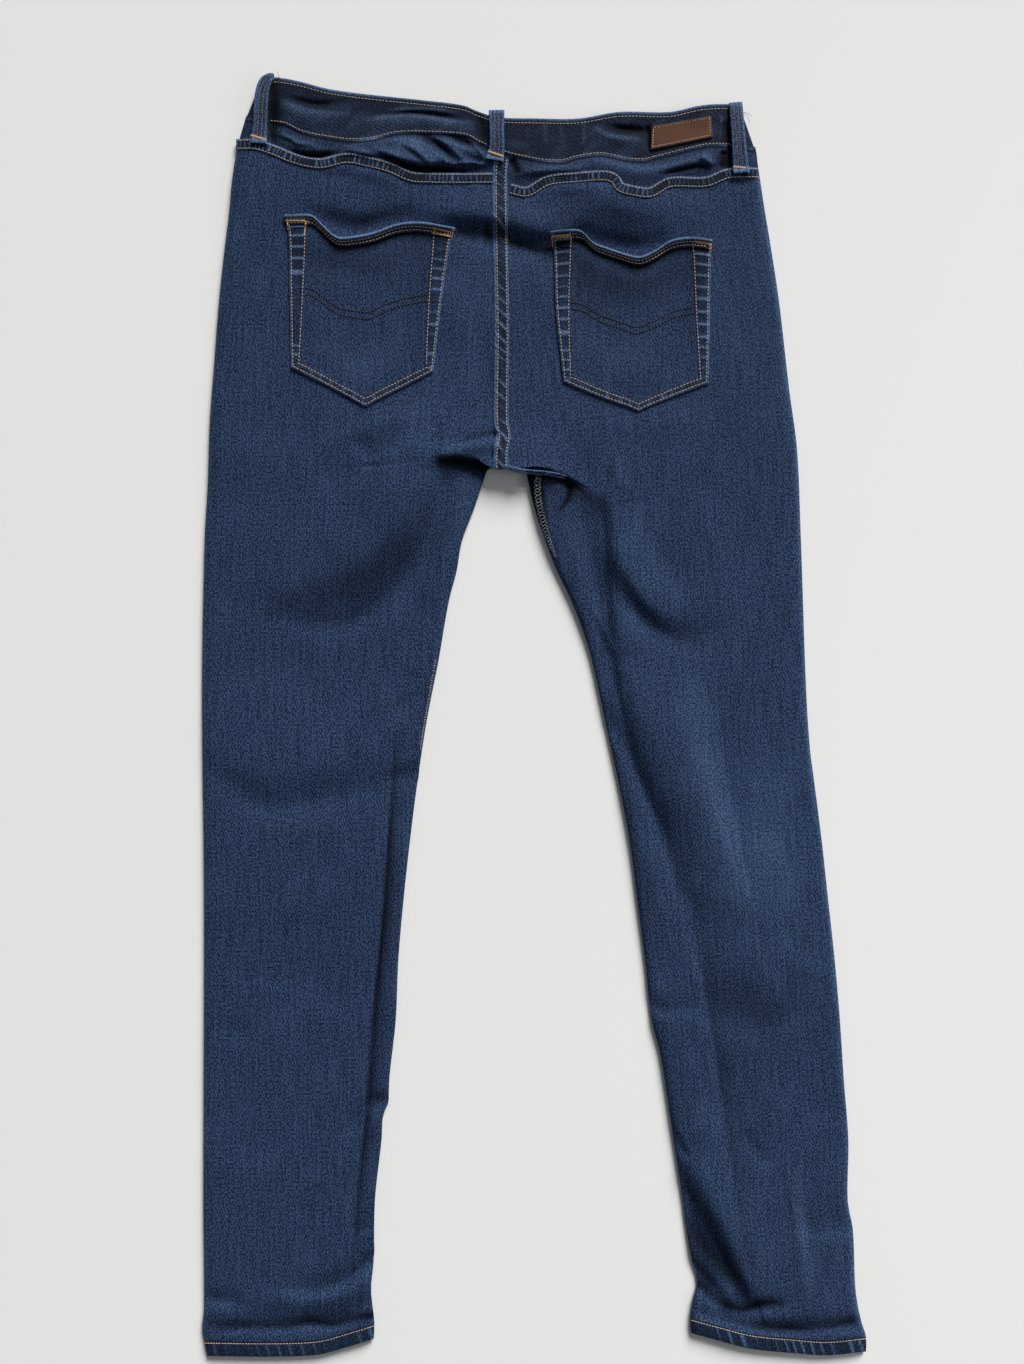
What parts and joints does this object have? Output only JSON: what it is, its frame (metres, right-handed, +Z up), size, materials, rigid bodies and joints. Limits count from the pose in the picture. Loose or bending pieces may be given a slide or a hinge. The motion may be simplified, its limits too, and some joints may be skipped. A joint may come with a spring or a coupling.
{
  "type": "skinny jeans",
  "caption": "Skinny jeans in dark stretch denim, laid flat with the back up, showing the yoke, patch pockets, belt loops and a bare leather patch.",
  "frame": {"origin": "middle of the box round the laid garment, on the surface that it lies on", "axes": "+Y from the hems to the waist, +Z up through the back of the garment, -X towards the wearer's left"},
  "size_m": [0.5112, 0.9872, 0.0137],
  "materials": {
    "denim": "dark indigo stretch twill, lightly worn",
    "band_denim": "doubled dark indigo twill",
    "leather": "smooth red-brown leather, bare",
    "zip": "woven tape with brass teeth",
    "brass": "satin",
    "thread": "tan topstitching thread"
  },
  "bodies": {
    "root": {"front_left": "denim", "front_right": "denim", "back_left": "denim", "back_right": "denim", "hem_left": "denim", "hem_right": "denim", "yoke_left": "denim", "yoke_right": "denim", "pocket_left": "denim", "pocket_right": "denim", "waistband": "band_denim", "loop_left": "band_denim", "loop_centre": "band_denim", "loop_right": "band_denim", "patch": "leather", "fly_zip": "zip", "button": "brass"}
  },
  "joints": []
}
